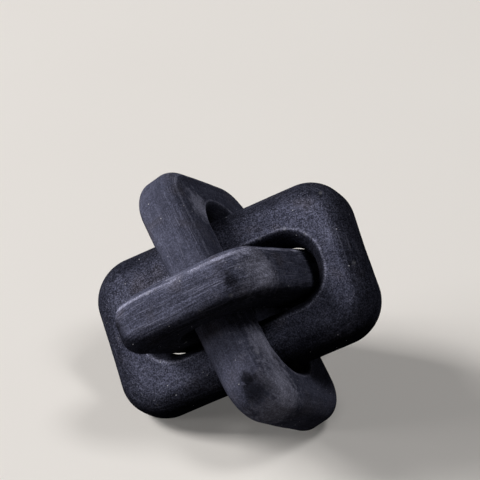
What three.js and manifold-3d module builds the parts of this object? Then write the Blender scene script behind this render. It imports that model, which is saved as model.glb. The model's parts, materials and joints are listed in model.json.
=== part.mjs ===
// A knot of three loose stone links. Each link is one closed ring carved out of the same block, and it
// passes through the opening of the next, so no two links are joined but the three hold each other.
// Millimetres, +Z up, front towards -Y. The origin is on the surface that the knot stands on, under the
// middle of its box.

import * as THREE from 'three';
import { mergeVertices } from 'three/addons/utils/BufferGeometryUtils.js';
import Module from 'manifold-3d';

// The bars of a link
const link_thickness = 28.5;        // through the ring, from face to face
const side_bar_width = 29;          // the two long bars, in the plane of the ring
const end_bar_width = 26.25;        // the two short bars, in the plane of the ring

// The room that an opening leaves round the link that passes through it
const opening_play = 4;             // spare width, over that link's thickness
const length_play = 7;              // spare length, over that link's width

// Rounding, limited by the walls that it is on
const outer_corner_radius = 23.5;   // the ring's outer corners, seen square on
const opening_corner_radius = 15;   // the opening's corners, seen square on, halfway through
const outer_edge_radius = 10.5;     // along the outside edges
const opening_flare = 7;            // how much further out an opening's rim is than halfway through
const round_power = 2;              // the curve of the outside edges, a quarter of a circle
const flare_power = 1.7;            // the curve of the flare, between a straight bevel, 1, and an arc, 2
const least_flat = 0.5;             // half of what a rounded wall keeps flat, at the least

// How the links lie
const contact_gap = 0.4;            // left between two links where they lean on each other
const heading_deg = 9;              // the knot's turn about the vertical
const foot_depth = 0.4;             // how deep the corner that each link stands on is worn flat

// Facets, and the spacing and halvings of the search for where the links meet
const corner_steps = 9;
const outer_edge_steps = 7;
const flare_steps = 6;
const search_spacing = 3;
const search_halvings = 16;

const stone_colour = 0x3b3b45;
const stone_roughness = 0.55;
const link_names = ['broad_link', 'upright_link', 'front_link'];

// An opening takes the thickness of one link in its width and the width of another in its length.
const opening_width = link_thickness + opening_play;
const link_width = opening_width + 2 * side_bar_width;
const opening_length = link_width + length_play;
const link_length = opening_length + 2 * end_bar_width;
const half_thickness = link_thickness / 2;

// A rounding is never more than its wall has room for.
const outer_corner = Math.min(outer_corner_radius, link_width / 2 - least_flat);
const opening_corner = Math.min(opening_corner_radius, opening_width / 2 - least_flat);
const outer_edge = Math.min(outer_edge_radius, half_thickness - least_flat);
const narrow_bar = Math.min(side_bar_width, end_bar_width);
const flare = Math.min(opening_flare, narrow_bar - outer_edge - least_flat);
const flare_depth = half_thickness - least_flat;

/** Points of a rectangle with round corners, anticlockwise from the +X side, at one height. */
function roundedContour(length, width, radius, height) {
  const points = [];
  for (let corner = 0; corner < 4; corner += 1) {
    const side_x = corner === 0 || corner === 3 ? 1 : -1;
    const side_y = corner < 2 ? 1 : -1;
    const centre_x = side_x * (length / 2 - radius);
    const centre_y = side_y * (width / 2 - radius);
    const start = corner * Math.PI / 2;
    const arc = new THREE.EllipseCurve(centre_x, centre_y, radius, radius, start, start + Math.PI / 2);
    for (const point of arc.getPoints(corner_steps)) {
      points.push(new THREE.Vector3(point.x, point.y, height));
    }
  }
  return points;
}

/** Inset and height along a wall with both edges eased, from the upper face down to the lower one. */
function easedWall(reach, depth, power, steps) {
  const stations = [];
  for (const half of [1, -1]) {
    for (let step = 0; step <= steps; step += 1) {
      const share = half > 0 ? 1 - step / steps : step / steps;
      const angle = share * Math.PI / 2;
      const inset = reach * (1 - Math.cos(angle) ** (2 / power));
      const height = half * (half_thickness - depth + depth * Math.sin(angle) ** (2 / power));
      stations.push({ inset, height });
    }
  }
  return stations;
}

/** The contours of one ring, down the outer wall and back up the wall of the opening. */
function ringContours() {
  const contours = [];
  for (const { inset, height } of easedWall(outer_edge, outer_edge, round_power, outer_edge_steps)) {
    const radius = Math.max(outer_corner - inset, least_flat);
    contours.push(roundedContour(link_length - 2 * inset, link_width - 2 * inset, radius, height));
  }
  for (const { inset, height } of easedWall(flare, flare_depth, flare_power, flare_steps).reverse()) {
    const radius = opening_corner + inset;
    contours.push(roundedContour(opening_length + 2 * inset, opening_width + 2 * inset, radius, height));
  }
  return contours;
}

/** A ring's contours skinned into a closed body. */
function skinned(contours) {
  const around = contours[0].length;
  const index = [];
  for (let station = 0; station < contours.length; station += 1) {
    const here = station * around;
    const next = ((station + 1) % contours.length) * around;
    for (let i = 0; i < around; i += 1) {
      const j = (i + 1) % around;
      index.push(here + i, next + i, here + j);
      index.push(here + j, next + i, next + j);
    }
  }
  const geometry = new THREE.BufferGeometry().setFromPoints(contours.flat());
  geometry.setIndex(index);
  return geometry;
}

/** Distance to a wall and a face that meet in an eased edge, from the distance to each, below zero inside. */
function easedMeet(wall, face, reach, depth, power) {
  const past_wall = Math.max(wall + reach, 0) / reach;
  const past_face = Math.max(face + depth, 0) / depth;
  if (past_wall === 0 || past_face === 0) {
    return Math.max(wall, face);
  }
  const level = (past_wall ** power + past_face ** power) ** (1 / power);
  const wall_slope = (past_wall / level) ** (power - 1) / reach;
  const face_slope = (past_face / level) ** (power - 1) / depth;
  return (level - 1) / Math.hypot(wall_slope, face_slope);
}

/** Distance from a point to a rectangle with round corners, below zero inside. */
function rectangleDistance(point, length, width, radius) {
  const past_x = Math.abs(point.x) - length / 2 + radius;
  const past_y = Math.abs(point.y) - width / 2 + radius;
  const outside = Math.hypot(Math.max(past_x, 0), Math.max(past_y, 0));
  return outside + Math.min(Math.max(past_x, past_y), 0) - radius;
}

/** Distance from a point to a ring's surface, below zero in the stone. */
function ringDistance(point) {
  const face = Math.abs(point.z) - half_thickness;
  const wall = rectangleDistance(point, link_length, link_width, outer_corner);
  const opening = rectangleDistance(point, opening_length, opening_width, opening_corner);
  return Math.max(
    easedMeet(wall, face, outer_edge, outer_edge, round_power),
    easedMeet(-opening, face, flare, flare_depth, flare_power),
  );
}

/** Points along closed contours, no further apart than the search's spacing. */
function pointsAlong(contours) {
  const points = [];
  for (const contour of contours) {
    contour.forEach((point, i) => {
      const next = contour[(i + 1) % contour.length];
      const steps = Math.ceil(point.distanceTo(next) / search_spacing);
      for (let step = 0; step < steps; step += 1) {
        points.push(point.clone().lerp(next, step / steps));
      }
    });
  }
  return points;
}

// A square knot has its links along X, Y and Z, each the last one turned by a third about the corner
// diagonal. Standing, that diagonal is upright, and each link has rocked about its own short axis.
const diagonal = new THREE.Vector3(1, 1, 1).normalize();
const vertical = new THREE.Vector3(0, 0, 1);
const short_axis = new THREE.Vector3(0, 1, 0);
const third_turn = 2 * Math.PI / 3;

/** How the first link leans when it has rocked by an angle. */
function leanAt(rock) {
  const lean = new THREE.Quaternion().setFromUnitVectors(diagonal, vertical);
  return lean.multiply(new THREE.Quaternion().setFromAxisAngle(short_axis, rock));
}

/** The least distance between two neighbouring links that have both rocked by an angle. */
function gapAt(rock, points) {
  const lean = leanAt(rock);
  let gap = Infinity;
  for (const turn of [third_turn, -third_turn]) {
    const to_neighbour = lean.clone().invert();
    to_neighbour.multiply(new THREE.Quaternion().setFromAxisAngle(vertical, turn));
    to_neighbour.multiply(lean);
    for (const point of points) {
      gap = Math.min(gap, ringDistance(point.clone().applyQuaternion(to_neighbour)));
    }
  }
  return gap;
}

/** The angle to which the links rock under their own weight, until they lean on each other. */
function restingRock(points) {
  let clear = 0;
  let blocked = Math.PI / 4;
  for (let halving = 0; halving < search_halvings; halving += 1) {
    const rock = (clear + blocked) / 2;
    if (gapAt(rock, points) > contact_gap) {
      clear = rock;
    } else {
      blocked = rock;
    }
  }
  return clear;
}

const wasm = await Module();
wasm.setup();

/** A closed geometry as a solid that can be cut. */
function solidOf(geometry) {
  const bare = geometry.clone();
  bare.deleteAttribute('normal');
  bare.deleteAttribute('uv');
  const merged = mergeVertices(bare);
  const vertProperties = new Float32Array(merged.attributes.position.array);
  const triVerts = new Uint32Array(merged.index.array);
  return new wasm.Manifold(new wasm.Mesh({ numProp: 3, vertProperties, triVerts }));
}

/** A solid's surface as a geometry. */
function geometryOf(solid) {
  const mesh = solid.getMesh();
  const geometry = new THREE.BufferGeometry();
  geometry.setAttribute('position', new THREE.BufferAttribute(mesh.vertProperties, 3));
  geometry.setIndex(new THREE.BufferAttribute(mesh.triVerts, 1));
  geometry.computeVertexNormals();
  return geometry;
}

// Each link stands on its lowest corner, and the floor line is a little above that corner's tip.
const contours = ringContours();
const lean = leanAt(restingRock(pointsAlong(contours)));
const ring = skinned(contours);
const leaning_ring = ring.clone().applyQuaternion(lean);
leaning_ring.computeBoundingBox();
const floor_height = leaning_ring.boundingBox.min.z + foot_depth;

/** The ring with its lowest corner cut flat along the floor line. */
function standingRing() {
  const below = new THREE.BoxGeometry(2 * link_length, 2 * link_length, link_length);
  below.translate(0, 0, floor_height - link_length / 2);
  below.applyQuaternion(lean.clone().invert());
  return geometryOf(solidOf(ring).subtract(solidOf(below)));
}

const link_geometry = standingRing();
const knot = new THREE.Group();
knot.rotation.z = THREE.MathUtils.degToRad(heading_deg);
link_names.forEach((name, place) => {
  const material = new THREE.MeshStandardMaterial({
    color: stone_colour,
    roughness: stone_roughness,
    metalness: 0,
  });
  const link = new THREE.Mesh(link_geometry, material);
  link.name = name;
  link.quaternion.copy(lean);
  const third = new THREE.Group();
  third.rotation.z = place * third_turn;
  third.add(link);
  knot.add(third);
});

// The floor line goes to Z = 0, and the middle of the knot's box over the origin.
const box = new THREE.Box3().setFromObject(knot, true);
const middle = box.getCenter(new THREE.Vector3());
knot.position.set(-middle.x, -middle.y, -floor_height);

const part = new THREE.Group();
part.add(knot);

export default part;
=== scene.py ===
import json
import math

import bpy
import numpy as np
from mathutils import Matrix, Vector


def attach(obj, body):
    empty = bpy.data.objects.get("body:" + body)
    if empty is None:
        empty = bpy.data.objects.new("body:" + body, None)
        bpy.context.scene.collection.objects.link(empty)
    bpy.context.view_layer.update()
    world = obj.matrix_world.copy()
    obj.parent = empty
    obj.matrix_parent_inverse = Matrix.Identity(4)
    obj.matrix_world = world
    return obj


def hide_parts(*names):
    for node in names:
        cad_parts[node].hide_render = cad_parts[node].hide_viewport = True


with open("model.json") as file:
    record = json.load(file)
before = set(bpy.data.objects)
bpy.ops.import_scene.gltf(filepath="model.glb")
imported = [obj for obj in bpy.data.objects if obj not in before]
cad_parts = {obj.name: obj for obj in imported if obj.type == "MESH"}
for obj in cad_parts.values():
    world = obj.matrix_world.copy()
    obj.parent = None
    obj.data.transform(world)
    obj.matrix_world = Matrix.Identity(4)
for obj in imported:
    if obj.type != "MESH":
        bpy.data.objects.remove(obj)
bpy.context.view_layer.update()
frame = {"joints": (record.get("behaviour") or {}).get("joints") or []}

# The broad link
# A closed ring of black marble that runs from left to right behind the other two. It is sawn and carved
# out of the same block as they are, rounded with a rasp and honed by hand until it is smooth but matt.
# Nothing fixes it: its opening holds the front link, and it lies in the opening of the upright one.

link_thickness = 0.0285
side_bar_width = 0.029
end_bar_width = 0.02625
opening_play, length_play = 0.004, 0.007
opening_width = link_thickness + opening_play
link_width = opening_width + 2 * side_bar_width
opening_length = link_width + length_play
link_length = opening_length + 2 * end_bar_width
least_flat = 0.0005
outer_corner_radius = 0.0235
opening_corner_radius = 0.015
outer_edge_radius = 0.0105
opening_flare, flare_power = 0.007, 1.7
rock_angle = math.radians(8.2336)

# Each link is the last one turned by a third about the vertical, so a link's long axis is the short axis
# of the one before it. The hinges turn the links about their short axes.
hinges = {joint["name"]: joint for joint in frame["joints"]}
knot_centre = np.array(hinges["upright_rock"]["pos_m"])
upright_axis = np.array(hinges["upright_rock"]["axis"])
front_axis = np.array(hinges["front_rock"]["axis"])
broad_axis = np.cross(upright_axis, front_axis)


def walk_round():
    """Where a point that walks round a rounded rectangle is: its place on the core rectangle, from -1 to 1
    along both sides, and the angle in which the corner radius points. On a straight side the place moves
    and the angle stays, and on a corner the place stays and the angle turns by a quarter."""
    side_steps, corner_steps, end_steps = 116, 44, 44
    place_x, place_y, angle = [], [], []
    for quarter, steps in enumerate((end_steps, side_steps, end_steps, side_steps)):
        corner_x = 1 if quarter in (0, 3) else -1
        corner_y = 1 if quarter < 2 else -1
        last_x, last_y = (corner_x, -corner_y) if quarter % 2 == 0 else (-corner_x, corner_y)
        share = np.arange(steps) / steps
        place_x += [last_x + (corner_x - last_x) * share, np.full(corner_steps, corner_x)]
        place_y += [last_y + (corner_y - last_y) * share, np.full(corner_steps, corner_y)]
        turn = (quarter + np.arange(corner_steps) / corner_steps) * math.pi / 2
        angle += [np.full(steps, quarter * math.pi / 2), turn]
    return np.concatenate(place_x), np.concatenate(place_y), np.concatenate(angle)


def walk_section(crest_angle):
    """Once round a bar's section from the middle of the opening's wall, over the upper face to the outer
    wall and back under the lower face. The flare of the opening is a quarter of an ellipse whose sines and
    cosines are raised to a power, so that it is nearer to a bevel, and the outer edge is a quarter circle.
    Gives the share of the way from the outer wall to the opening, the insets of the two edges, the height,
    how far up on an edge's ridge the point is, how deep in the opening, and how far out it is, from -1 at
    the opening to 0 at the end of the face and 1 on the outer wall."""
    half = link_thickness / 2
    flare_steps, face_steps, edge_steps, wall_steps = 26, 16, 22, 8
    rim_rise, rim_fall, depth_power = 12, 8, 0.5
    crest_width = math.radians(9)
    runs = []

    def run(share, opening_inset, outer_inset, height, ridge=0.0, depth=0.0, rounding=-1.0):
        """One stretch of the section: a value that stays the same is repeated for all its points."""
        values = (share, opening_inset, outer_inset, height, ridge, depth, rounding)
        runs.append(np.stack(np.broadcast_arrays(*values)))

    run(1.0, 0.0, 0.0, np.zeros(1), depth=1.0)
    turn = np.arange(flare_steps) / flare_steps * math.pi / 2
    reach = opening_flare * (1 - np.cos(turn) ** (2 / flare_power))
    rise = (half - least_flat) * np.sin(turn) ** (2 / flare_power)
    run(1.0, reach, 0.0, least_flat + rise,
        ridge=np.sin(turn) ** rim_rise, depth=np.cos(turn) ** depth_power)
    part = (1 - np.cos(np.arange(face_steps) / face_steps * math.pi)) / 2
    run(1.0 - part, opening_flare, outer_edge_radius, half,
        ridge=(1 - part) ** rim_fall, rounding=part - 1)
    turn = (1 - np.arange(edge_steps) / edge_steps) * math.pi / 2
    crest = np.exp(-((turn - crest_angle) / crest_width) ** 2)
    run(0.0, 0.0, outer_edge_radius * (1 - np.cos(turn)),
        half - outer_edge_radius * (1 - np.sin(turn)), ridge=crest, rounding=np.cos(turn))
    part = np.arange(wall_steps + 1) / wall_steps
    run(0.0, 0.0, 0.0, (half - outer_edge_radius) * (1 - part), rounding=1.0)
    upper = np.concatenate(runs, axis=1)
    mirrored = np.array([1, 1, 1, -1, 1, 1, 1])
    lower = upper[:, ::-1] * mirrored[:, None]
    return np.concatenate([upper[:, :-1], lower[:, :-1]], axis=1)


def rounded_outline(length, width, radius, round_walk):
    """A rectangle with round corners: the core rectangle's edge plus the corner radius along its angle."""
    place_x, place_y, angle = round_walk
    x = place_x * (length / 2 - radius)[:, None] + radius[:, None] * np.cos(angle)
    y = place_y * (width / 2 - radius)[:, None] + radius[:, None] * np.sin(angle)
    return np.stack([x, y], axis=-1)


def lumps(points, spacing, seed):
    """Smooth noise from -1 to 1: random heights on a lattice, blended between the eight corners round a
    point by the smooth step of its place between them."""
    lattice_size = 32
    lattice = np.random.default_rng(seed).uniform(-1, 1, (lattice_size, lattice_size, lattice_size))
    cell = points / spacing
    base = np.floor(cell).astype(int)
    blend = cell - base
    blend = blend * blend * (3 - 2 * blend)
    total = np.zeros(points.shape[:-1])
    for corner in np.ndindex(2, 2, 2):
        weight = np.prod(np.where(corner, blend, 1 - blend), axis=-1)
        i, j, k = np.moveaxis((base + corner) % lattice_size, -1, 0)
        total += weight * lattice[i, j, k]
    return total


def hollows(points, spacing, seed):
    """Shallow hollows from 0 to 1: smooth noise with what is below zero flattened, by the mean of the noise
    and of its distance from zero, which is rounded off near zero."""
    softness = 0.15
    level = lumps(points, spacing, seed)
    return (level + np.hypot(level, softness)) / 2


def surface_normals(points):
    """Unit normals of a grid that closes on itself both ways: the cross product of its two slopes."""
    slope_around = np.roll(points, -1, axis=0) - np.roll(points, 1, axis=0)
    slope_along = np.roll(points, -1, axis=1) - np.roll(points, 1, axis=1)
    normals = np.cross(slope_around, slope_along)
    return normals / np.linalg.norm(normals, axis=-1, keepdims=True)


def chip_bowls(points, ridge, seed, chip_count):
    """How deep chips go in: at random places on the ridges, bowls that fall off with the square of the
    distance from their middle."""
    least_ridge = 0.8
    radius_range, steepness_range = (0.0006, 0.0014), (0.2, 0.35)
    rng = np.random.default_rng(seed)
    chip_depth = np.zeros(points.shape[:2])
    ridge_rows = np.flatnonzero(ridge > least_ridge)
    for chip in range(chip_count):
        place = points[rng.choice(ridge_rows), rng.integers(points.shape[1])]
        radius = rng.uniform(*radius_range)
        distance = np.linalg.norm(points - place, axis=-1)
        bowl = np.clip(1 - (distance / radius) ** 2, 0, 1)
        chip_depth = np.maximum(chip_depth, bowl * radius * rng.uniform(*steepness_range))
    return chip_depth


def way_along(middle, section):
    """The way along a bar and round it, in metres: along, as a place on a circle as long as the line
    through the bars' middle, so that it closes on itself, and round, as the length of the section so far."""
    steps = np.linalg.norm(np.roll(middle, -1, axis=0) - middle, axis=-1)
    bar_angle = np.cumsum(steps) / steps.sum() * 2 * math.pi
    bar_radius = steps.sum() / (2 * math.pi)
    section_steps = np.linalg.norm(np.roll(section, -1, axis=0) - section, axis=-1)
    round_bar = np.concatenate([[0], np.cumsum(section_steps)[:-1]])
    return np.stack(np.broadcast_arrays(
        bar_radius * np.cos(bar_angle)[None, :], bar_radius * np.sin(bar_angle)[None, :],
        round_bar[:, None]), axis=-1)


def carved_link(name, long_axis, short_axis, seed, chip_count, edge_wear_and_highlight, crest_angle):
    """One link: the outer outline and the opening's outline, each inset by its rounding, with the faces
    drawn between them. The surface is then taken down a little by hollows of several sizes, as hand work
    leaves them, and by small chips along the ridges. The corner that it stands on stays flat on the
    ground. The crest angle says where the ridge of the outer edge's rounding runs that is painted paler, as
    wear and as painted highlight, from 0 at the outer wall to a quarter turn at the face."""
    round_walk = walk_round()
    share, opening_inset, outer_inset, height, ridge, depth, rounding = walk_section(crest_angle)
    outer = rounded_outline(
        link_length - 2 * outer_inset, link_width - 2 * outer_inset,
        outer_corner_radius - outer_inset, round_walk)
    opening = rounded_outline(
        opening_length + 2 * opening_inset, opening_width + 2 * opening_inset,
        opening_corner_radius + opening_inset, round_walk)
    flat = outer + (opening - outer) * share[:, None, None]
    upright = np.broadcast_to(height[:, None, None], flat.shape[:2] + (1,))
    points = np.concatenate([flat, upright], axis=-1)

    normal_axis = np.cross(long_axis, short_axis)
    rocked_long = long_axis * math.cos(rock_angle) - normal_axis * math.sin(rock_angle)
    rocked_normal = normal_axis * math.cos(rock_angle) + long_axis * math.sin(rock_angle)
    axes = np.stack([rocked_long, short_axis, rocked_normal])
    standing = points @ axes + knot_centre
    normals = surface_normals(points) @ axes

    hollow_sizes = ((0.00055, 0.036), (0.00018, 0.013), (0.00006, 0.0048))
    foot_height, foot_fade = 0.0010, 0.005
    chip_depth = chip_bowls(points, ridge, seed, chip_count)
    carving = sum(deepest * hollows(points, spacing, seed + number)
                  for number, (deepest, spacing) in enumerate(hollow_sizes, start=1))
    clear_of_foot = np.clip((standing[..., 2] - foot_height) / foot_fade, 0, 1)
    down = (carving + chip_depth) * clear_of_foot
    standing = standing - normals * down[..., None]
    standing[..., 2] = np.maximum(standing[..., 2], 0)

    index = np.arange(standing[..., 0].size).reshape(standing.shape[:2])
    next_round = np.roll(index, -1, axis=0)
    next_along = np.roll(index, -1, axis=1)
    both = np.roll(next_round, -1, axis=1)
    quads = np.stack([index, next_round, both, next_along], axis=-1).reshape(-1, 4)
    mesh = bpy.data.meshes.new(name)
    mesh.from_pydata(standing.reshape(-1, 3).tolist(), [], quads.tolist())
    mesh.shade_smooth()

    # What the finish follows: the ridges, painted paler as wear and as painted highlight, the chips, painted
    # shade deep in the opening and where the surface faces sideways or down, how far out on the bar it is,
    # and the way along and round the bar.
    corner_wear, rim_wear_and_highlight, outer_share = 0.15, 0.72, 0.05
    level_wear_and_highlight, wear_and_highlight_by_slope = 0.25, 1.5
    level_painted_shade, painted_shade_by_slope = 0.28, 1.1
    full_chip = 0.0003
    faces_up = normals[..., 2]
    at_corner = corner_wear * np.abs(np.sin(2 * round_walk[2]))[None, :] * (share[:, None] < outer_share)
    # Painted highlight with the wear: the opening's rim and the outer edge's crest are painted paler, more
    # where they face up.
    on_edge = np.where(rounding > 0, edge_wear_and_highlight, rim_wear_and_highlight)
    wear_and_highlight = np.clip(ridge[:, None] + at_corner, 0, 1) * on_edge[:, None]
    # Painted shade: darker deep in the opening and where the surface faces sideways or down.
    finish = {
        "wear_and_highlight": wear_and_highlight * np.clip(level_wear_and_highlight + wear_and_highlight_by_slope * faces_up, 0, 1),
        "chips": np.clip(chip_depth / full_chip, 0, 1),
        "painted_shade": np.maximum(
            depth[:, None], np.clip(level_painted_shade - painted_shade_by_slope * faces_up, 0, 1)),
        "rounding": np.broadcast_to(rounding[:, None], wear_and_highlight.shape),
    }
    for attribute, values in finish.items():
        mesh.attributes.new(attribute, "FLOAT", "POINT").data.foreach_set("value", values.ravel())
    streak = way_along((outer[0] + opening[0]) / 2, points[:, 0])
    mesh.attributes.new("streak", "FLOAT_VECTOR", "POINT").data.foreach_set("vector", streak.ravel())
    link = bpy.data.objects.new(name, mesh)
    bpy.context.scene.collection.objects.link(link)
    return link


def add_node(tree, kind, inputs=(), **settings):
    """A node with its settings, whose inputs are set to values or joined to other nodes' sockets."""
    node = tree.nodes.new(kind)
    for setting, value in settings.items():
        setattr(node, setting, value)
    for key, value in dict(inputs).items():
        if isinstance(value, bpy.types.NodeSocket):
            tree.links.new(value, node.inputs[key])
        else:
            node.inputs[key].default_value = value
    return node


def calculate(tree, operation, first, second):
    """A sum, product or other operation on two values."""
    return add_node(tree, "ShaderNodeMath", {0: first, 1: second}, operation=operation).outputs[0]


def blended(tree, first, first_weight, second, second_weight):
    """The sum of two values, each times its weight."""
    return calculate(tree, "ADD", calculate(tree, "MULTIPLY", first, first_weight),
                     calculate(tree, "MULTIPLY", second, second_weight))


def raised(tree, value, strength, level):
    """A value times its strength, on top of a level."""
    return calculate(tree, "ADD", calculate(tree, "MULTIPLY", value, strength), level)


def remap(tree, value, low, high, to_low=0.0, to_high=1.0):
    """A value's range from low to high, eased and spread from to_low to to_high."""
    inputs = {"Value": value, "From Min": low, "From Max": high, "To Min": to_low, "To Max": to_high}
    return add_node(tree, "ShaderNodeMapRange", inputs, interpolation_type="SMOOTHSTEP").outputs["Result"]


def noise(tree, place, scale, detail=2.0, roughness=0.5):
    """Cloudy noise at a place, with so many lumps to the metre."""
    inputs = {"Vector": place, "Scale": scale, "Detail": detail, "Roughness": roughness}
    return add_node(tree, "ShaderNodeTexNoise", inputs).outputs["Fac"]


def mixed(tree, share, first, second):
    """Two colours mixed by a share of the second."""
    return add_node(tree, "ShaderNodeMix", {0: share, 6: first, 7: second}, data_type="RGBA").outputs[2]


def shaded(tree, colour, shade):
    """A colour made lighter or darker by a factor."""
    return add_node(tree, "ShaderNodeVectorMath", {0: colour, "Scale": shade}, operation="SCALE").outputs[0]


def effect_group(name, inputs, outputs):
    """An empty node group with named sockets, its input sockets, and its output node."""
    tree = bpy.data.node_groups.new(name, "ShaderNodeTree")
    for socket, kind in inputs.items():
        tree.interface.new_socket(socket, in_out="INPUT", socket_type="NodeSocket" + kind)
    for socket, kind in outputs.items():
        tree.interface.new_socket(socket, in_out="OUTPUT", socket_type="NodeSocket" + kind)
    return tree, tree.nodes.new("NodeGroupInput").outputs, tree.nodes.new("NodeGroupOutput")


# The marble's own colour: clouds of two sizes between a dark and a pale tone, with a faint warm tint.
cloudy_marble, given, result = effect_group(
    "cloudy_marble", {"Place": "Vector", "Dark": "Color", "Pale": "Color", "Warm": "Color"},
    {"Color": "Color", "Tone": "Float"})
wide_cloud = noise(cloudy_marble, given["Place"], scale=26.0, detail=4.0, roughness=0.6)
small_cloud = noise(cloudy_marble, given["Place"], scale=115.0, detail=3.0, roughness=0.6)
tone = blended(cloudy_marble, wide_cloud, 0.55, small_cloud, 0.45)
tone = remap(cloudy_marble, tone, low=0.34, high=0.66)
body = mixed(cloudy_marble, tone, given["Dark"], given["Pale"])
warmth = noise(cloudy_marble, given["Place"], scale=61.0)
warmth = remap(cloudy_marble, warmth, low=0.52, high=0.74, to_high=0.45)
body = mixed(cloudy_marble, warmth, body, given["Warm"])
cloudy_marble.links.new(body, result.inputs["Color"])
cloudy_marble.links.new(tone, result.inputs["Tone"])

# The grain that honing leaves: pale and dark pepper about a millimetre across.
pepper_grain, given, result = effect_group(
    "pepper_grain", {"Place": "Vector", "Strength": "Float"}, {"Shade": "Float", "Height": "Float"})
fine = noise(pepper_grain, given["Place"], scale=1250.0, roughness=0.6)
coarse = noise(pepper_grain, given["Place"], scale=520.0, roughness=0.6)
grain = blended(pepper_grain, fine, 0.75, coarse, 0.25)
grain = remap(pepper_grain, grain, low=0.38, high=0.70, to_low=-0.7, to_high=1.7)
pepper_grain.links.new(raised(pepper_grain, grain, given["Strength"], 1.0), result.inputs["Shade"])
pepper_grain.links.new(grain, result.inputs["Height"])

# Pale crystals in the stone: a dot in some of the cells of a scattered pattern.
pale_crystals, given, result = effect_group(
    "pale_crystals", {"Place": "Vector", "Scale": "Float", "Share": "Float", "Size": "Float"},
    {"Mask": "Float"})
cells = add_node(pale_crystals, "ShaderNodeTexVoronoi", {"Vector": given["Place"], "Scale": given["Scale"]})
draw = add_node(pale_crystals, "ShaderNodeSeparateColor", {0: cells.outputs["Color"]}).outputs[0]
chosen = calculate(pale_crystals, "LESS_THAN", draw, given["Share"])
dot = calculate(pale_crystals, "DIVIDE", cells.outputs["Distance"], given["Size"])
dot = remap(pale_crystals, dot, low=1.0, high=0.6)
pale_crystals.links.new(calculate(pale_crystals, "MULTIPLY", dot, chosen), result.inputs["Mask"])


def along_bar(tree, streak, along, across, detail):
    """Noise drawn out along the bars, with so many lumps to the metre along the bar and across it."""
    place = add_node(tree, "ShaderNodeVectorMath", {0: streak, 1: (along, along, across)},
                     operation="MULTIPLY").outputs[0]
    return noise(tree, place, scale=1.0, detail=detail)


# The marks of rasp and grit, which run along the bars: fine ribs, wider bands, and here and there a pale
# scratch.
rasp_marks, given, result = effect_group(
    "rasp_marks", {"Streak": "Vector"}, {"Height": "Float", "Scratch": "Float", "Band": "Float"})
ribs = along_bar(rasp_marks, given["Streak"], along=90.0, across=900.0, detail=2.0)
lines = along_bar(rasp_marks, given["Streak"], along=105.0, across=1500.0, detail=1.0)
bands = along_bar(rasp_marks, given["Streak"], along=34.0, across=230.0, detail=2.0)
ribs = remap(rasp_marks, ribs, low=0.3, high=0.7, to_low=-1.0)
lines = remap(rasp_marks, lines, low=0.60, high=0.75)
bands = remap(rasp_marks, bands, low=0.3, high=0.7, to_low=-1.0)
rasp_marks.links.new(ribs, result.inputs["Height"])
rasp_marks.links.new(lines, result.inputs["Scratch"])
rasp_marks.links.new(bands, result.inputs["Band"])

# Ridges painted paler in patches: wear that hands and cloths leave, and painted highlight.
rubbed_and_highlit_ridge, given, result = effect_group(
    "rubbed_and_highlit_ridge", {"Place": "Vector", "Wear": "Float"}, {"Mask": "Float"})
patches = noise(rubbed_and_highlit_ridge, given["Place"], scale=85.0, detail=4.0, roughness=0.7)
patches = remap(rubbed_and_highlit_ridge, patches, low=0.28, high=0.56)
worn_and_highlit = remap(rubbed_and_highlit_ridge, given["Wear"], low=0.30, high=1.0)
rubbed_and_highlit_ridge.links.new(calculate(rubbed_and_highlit_ridge, "MULTIPLY", worn_and_highlit, patches), result.inputs["Mask"])

# A patch with a ragged border, used for stains and for painted patches of light.
ragged_patch, given, result = effect_group(
    "ragged_patch", {"Place": "Vector", "Centre": "Vector", "Radius": "Float"}, {"Mask": "Float"})
away = add_node(ragged_patch, "ShaderNodeVectorMath", {0: given["Place"], 1: given["Centre"]},
                operation="DISTANCE").outputs["Value"]
away = calculate(ragged_patch, "DIVIDE", away, given["Radius"])
ragged = noise(ragged_patch, given["Place"], scale=260.0, detail=3.0, roughness=0.6)
ragged = remap(ragged_patch, ragged, low=0.3, high=0.7, to_low=0.65, to_high=1.35)
away = calculate(ragged_patch, "MULTIPLY", away, ragged)
ragged_patch.links.new(remap(ragged_patch, away, low=1.3, high=0.1), result.inputs["Mask"])

marble_dark = (0.049, 0.052, 0.080, 1.0)
marble_pale = (0.080, 0.084, 0.125, 1.0)
marble_warm = (0.080, 0.074, 0.090, 1.0)
# A pale tone for scratches, specks and rubbed ridges, which also paints highlights on ridges, and the colour
# of painted patches of light.
pale_mark_and_highlight_colour = (0.210, 0.215, 0.295, 1.0)
painted_light_colour = (0.280, 0.285, 0.380, 1.0)
crystal_colour = (0.55, 0.55, 0.60, 1.0)


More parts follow.
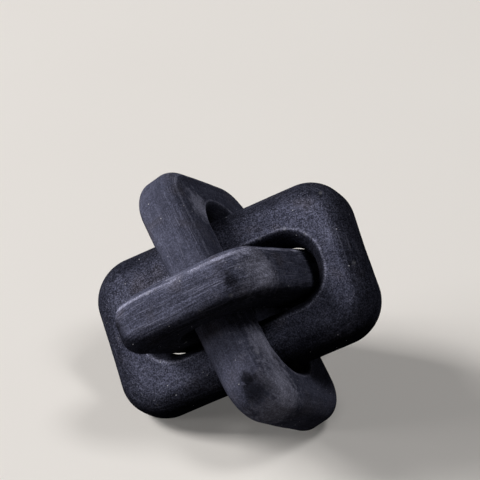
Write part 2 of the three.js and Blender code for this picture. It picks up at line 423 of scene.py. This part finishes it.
def honed_marble(name, offset, grain_strength, rib_strength, crystal_share, sparkle_share, painted_edge_shade=1.0,
                 painted_shade_reach=0.75, darkest_painted_shade=0.2, painted_light_patches=(), stained=()):
    """Matt black marble: clouds with painted shade towards the outer edges, ridges painted paler as wear and
    as painted highlight, and painted patches of light, under pepper grain, rasp ribs and scratches along the
    bars. Stains are darker, and painted shade darkens the opening and the surfaces that face sideways or
    down. Sparkle, pale crystals and chips lie on top. The offset moves the patterns, so that no two links
    are cut from the same place. Patches of painted light and stains have a centre and a radius each."""
    band_strength, scratch_strength = 0.10, 3.0 * rib_strength
    stain_shade, chip_paleness, crystal_cover = 0.25, 0.22, 0.8
    grain_height, rib_height, relief_strength, relief_depth = 0.5, 0.6, 0.7, 0.00016
    material = bpy.data.materials.new(name)
    material.use_nodes = True
    tree = material.node_tree
    tree.nodes.clear()

    def placed(group, **inputs):
        """What an effect puts out, with its inputs set to this marble's own values."""
        return add_node(tree, "ShaderNodeGroup", inputs, node_tree=group).outputs

    def followed(attribute):
        """What the link's surface says of itself at each point, such as its wear."""
        return add_node(tree, "ShaderNodeAttribute", attribute_name=attribute).outputs

    here = add_node(tree, "ShaderNodeTexCoord").outputs["Object"]
    place = add_node(tree, "ShaderNodeVectorMath", {0: here, 1: offset}).outputs[0]
    chips = followed("chips")["Fac"]
    painted_shade = followed("painted_shade")["Fac"]
    rounding = followed("rounding")["Fac"]

    body = placed(cloudy_marble, Place=place, Dark=marble_dark, Pale=marble_pale, Warm=marble_warm)
    grain = placed(pepper_grain, Place=place, Strength=grain_strength)
    marks = placed(rasp_marks, Streak=followed("streak")["Vector"])
    rubbed_and_highlit = placed(rubbed_and_highlit_ridge, Place=place, Wear=followed("wear_and_highlight")["Fac"])
    crystals = placed(pale_crystals, Place=place, Scale=430.0, Share=crystal_share, Size=0.15)
    large_crystals = placed(pale_crystals, Place=place, Scale=140.0, Share=crystal_share, Size=0.05)
    sparkle = placed(pale_crystals, Place=place, Scale=900.0, Share=sparkle_share, Size=0.32)

    # Painted shade: darker towards the outer edges, starting on the face.
    painted_edge_shading = remap(tree, rounding, low=-0.30, high=0.42, to_low=1.0, to_high=painted_edge_shade)
    colour = shaded(tree, body["Color"], painted_edge_shading)
    colour = mixed(tree, rubbed_and_highlit["Mask"], colour, pale_mark_and_highlight_colour)
    # Painted patches of light, paler where light fell brightest.
    for centre, radius in painted_light_patches:
        patch = placed(ragged_patch, Place=here, Centre=centre, Radius=radius)["Mask"]
        colour = mixed(tree, patch, colour, painted_light_colour)
    colour = shaded(tree, colour, grain["Shade"])
    band_shade = raised(tree, marks["Band"], band_strength, 1.0)
    colour = shaded(tree, colour, raised(tree, marks["Height"], rib_strength, band_shade))
    scratch = calculate(tree, "MULTIPLY", marks["Scratch"], scratch_strength)
    colour = mixed(tree, scratch, colour, pale_mark_and_highlight_colour)
    for centre, radius in stained:
        patch = placed(ragged_patch, Place=here, Centre=centre, Radius=radius)["Mask"]
        stain = remap(tree, patch, low=0.0, high=1.0, to_low=1.0, to_high=stain_shade)
        colour = shaded(tree, colour, stain)
    # Painted shade in the opening and on the surfaces that face sideways or down.
    painted_shade_factor = remap(tree, painted_shade, low=0.0, high=painted_shade_reach, to_low=1.0, to_high=darkest_painted_shade)
    colour = shaded(tree, colour, painted_shade_factor)
    open_side = remap(tree, painted_shade, low=0.0, high=0.3, to_low=0.6, to_high=0.0)
    on_face = remap(tree, rounding, low=0.0, high=0.5, to_low=1.0, to_high=0.25)
    sparkle_level = calculate(tree, "MULTIPLY", open_side, on_face)
    sparkle_level = calculate(tree, "MULTIPLY", sparkle["Mask"], sparkle_level)
    colour = mixed(tree, sparkle_level, colour, pale_mark_and_highlight_colour)
    dots = calculate(tree, "MAXIMUM", crystals["Mask"], large_crystals["Mask"])
    dots = calculate(tree, "MAXIMUM", dots, calculate(tree, "MULTIPLY", chips, chip_paleness))
    colour = mixed(tree, calculate(tree, "MULTIPLY", dots, crystal_cover), colour, crystal_colour)

    height = blended(tree, grain["Height"], grain_height, marks["Height"], rib_height)
    bump = add_node(tree, "ShaderNodeBump", {
        "Height": height, "Strength": relief_strength, "Distance": relief_depth})
    smoothed = calculate(tree, "ADD", body["Tone"], rubbed_and_highlit["Mask"])
    roughness = remap(tree, smoothed, low=0.0, high=1.6, to_low=0.62, to_high=0.46)
    shader = add_node(tree, "ShaderNodeBsdfPrincipled", {
        "Base Color": colour, "Roughness": roughness, "Normal": bump.outputs[0],
        "Specular IOR Level": 0.0})
    output = tree.nodes.new("ShaderNodeOutputMaterial")
    tree.links.new(shader.outputs[0], output.inputs[0])
    return material


broad_link = carved_link("broad_link_stone", front_axis, broad_axis, seed=11, chip_count=26,
                         edge_wear_and_highlight=0.3, crest_angle=math.radians(60))
# Its outer edges carry the most painted shade.
broad_link.data.materials.append(honed_marble(
    "broad_marble", offset=(0.31, 0.12, 0.55), grain_strength=0.75, rib_strength=0.06,
    crystal_share=0.05, sparkle_share=0.40, painted_edge_shade=0.34))
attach(broad_link, "broad_link")
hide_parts("broad_link")

# The upright link
# The ring that stands on its lower end in front and rises to the upper left, round the broad link. It is
# of the same marble, cut and finished like the broad one, with plainer marks of the rasp along its bars,
# and lies loose in the front link's opening.

upright_link = carved_link("upright_link_stone", broad_axis, upright_axis, seed=23, chip_count=30,
                           edge_wear_and_highlight=0.6, crest_angle=math.radians(60))
# Painted patches of light on its lower end and at its top, and two stains.
upright_link.data.materials.append(honed_marble(
    "upright_marble", offset=(1.27, 0.44, 0.18), grain_strength=0.36, rib_strength=0.10,
    crystal_share=0.08, sparkle_share=0.12, darkest_painted_shade=0.5,
    painted_light_patches=(((0.0150, -0.0500, 0.0670), 0.013), ((0.0230, -0.0650, 0.0560), 0.012),
             ((-0.0217, 0.0200, 0.1063), 0.011), ((0.0230, -0.0705, 0.0420), 0.014)),
    stained=(((0.0100, -0.0752, 0.0550), 0.009), ((0.0065, -0.0720, 0.0610), 0.005))))
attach(upright_link, "upright_link")
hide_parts("upright_link")

# The front link
# The ring that comes forward over the upright one and goes back through the broad one, of the same marble
# and as loose as they are. Its ridges have the most wear, and the crest of its outer edge is painted paler
# as highlight.

# The crest of its outer edge is painted paler as highlight, along with its wear.
front_link = carved_link("front_link_stone", upright_axis, front_axis, seed=37, chip_count=32,
                         edge_wear_and_highlight=1.0, crest_angle=math.radians(40))
# A painted patch of light on its right corner, and a stain.
front_link.data.materials.append(honed_marble(
    "front_marble", offset=(0.73, 2.05, 0.91), grain_strength=0.50, rib_strength=0.23,
    crystal_share=0.08, sparkle_share=0.18, painted_shade_reach=0.50,
    painted_light_patches=(((0.0115, -0.0497, 0.1125), 0.014),),
    stained=(((-0.0040, -0.0601, 0.1120), 0.006),)))
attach(front_link, "front_link")
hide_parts("front_link")

# The floor
# A plain pale floor that runs out of the picture on all sides. It is darker to the light that it would
# throw back up, so that the undersides of the dark stone stay dark, and a little brighter to the camera.

floor_half = 4.0
floor_dull, floor_bright = (0.76, 0.73, 0.70, 1.0), (0.80, 0.78, 0.75, 1.0)
bounce_colour = (0.26, 0.25, 0.24, 1.0)
seen_glow = 0.12
floor_mesh = bpy.data.meshes.new("floor")
floor_mesh.from_pydata(
    [(-floor_half, -floor_half, 0), (floor_half, -floor_half, 0), (floor_half, floor_half, 0),
     (-floor_half, floor_half, 0)], [], [(0, 1, 2, 3)])
floor = bpy.data.objects.new("floor", floor_mesh)
bpy.context.scene.collection.objects.link(floor)
floor_material = bpy.data.materials.new("pale_floor")
floor_material.use_nodes = True
floor_tree = floor_material.node_tree
floor_shader = floor_tree.nodes["Principled BSDF"].inputs
floor_shader["Roughness"].default_value = 0.9
floor_shader["Specular IOR Level"].default_value = 0.1
rays = add_node(floor_tree, "ShaderNodeLightPath").outputs
seen = calculate(floor_tree, "MAXIMUM", rays["Is Camera Ray"], calculate(
    floor_tree, "MAXIMUM", rays["Is Glossy Ray"], rays["Is Transmission Ray"]))
floor_place = add_node(floor_tree, "ShaderNodeTexCoord").outputs["Object"]
floor_tone = mixed(floor_tree, noise(floor_tree, floor_place, scale=3.0), floor_dull, floor_bright)
floor_tree.links.new(mixed(floor_tree, seen, bounce_colour, floor_tone), floor_shader["Base Color"])
floor_tree.links.new(floor_tone, floor_shader["Emission Color"])
floor_tree.links.new(
    calculate(floor_tree, "MULTIPLY", seen, seen_glow), floor_shader["Emission Strength"])
floor_mesh.materials.append(floor_material)

# The light
# A large soft lamp from the upper left, a smaller one low on the left for the links' front sides, a weak
# one from above and to the right, and a very faint even light from all round.

lamp_distance = 7.0
even_light = 0.014


def soft_lamp(name, towards, width, height, power, colour):
    """A flat lamp in a direction from the knot's centre, facing it."""
    lamp = bpy.data.lights.new(name, "AREA")
    lamp.shape = "RECTANGLE"
    lamp.size = width
    lamp.size_y = height
    lamp.energy = power
    lamp.color = colour
    holder = bpy.data.objects.new(name, lamp)
    direction = Vector(towards).normalized()
    holder.location = Vector(knot_centre) + direction * lamp_distance
    holder.rotation_euler = direction.to_track_quat("Z", "Y").to_euler()
    bpy.context.scene.collection.objects.link(holder)


soft_lamp("key_lamp", (-0.84, 0.12, 0.53), width=2.7, height=2.7, power=522.0, colour=(1.0, 0.98, 0.96))
soft_lamp("low_lamp", (-0.94, -0.30, 0.16), width=1.9, height=1.35, power=152.0, colour=(1.0, 0.98, 0.96))
soft_lamp("top_lamp", (0.34, -0.10, 0.94), width=1.9, height=1.9, power=123.0, colour=(1.0, 0.99, 0.98))
world = bpy.data.worlds.new("studio")
bpy.context.scene.world = world
world.use_nodes = True
world.node_tree.nodes["Background"].inputs["Color"].default_value = (1.0, 1.0, 1.0, 1.0)
world.node_tree.nodes["Background"].inputs["Strength"].default_value = even_light
bpy.context.scene.view_settings.view_transform = "Standard"

# The camera
# It looks down from the front at the photograph's angle, with a long lens and a slight roll. Its place is
# measured from the knot's centre.

camera_place = np.array([0.0, -1.0831, 0.7146])
camera_pitch = math.radians(-31.97)
camera_roll = math.radians(2.11)
focal_pixels, image_pixels = 2420.5, 480
camera_data = bpy.data.cameras.new("camera")
camera_data.sensor_width = 36.0
camera_data.lens = camera_data.sensor_width * focal_pixels / image_pixels
camera = bpy.data.objects.new("camera", camera_data)
camera.location = Vector(knot_centre + camera_place)
camera.rotation_euler = (Matrix.Rotation(math.pi / 2 + camera_pitch, 3, "X")
                         @ Matrix.Rotation(camera_roll, 3, "Z")).to_euler()
bpy.context.scene.collection.objects.link(camera)
bpy.context.scene.camera = camera
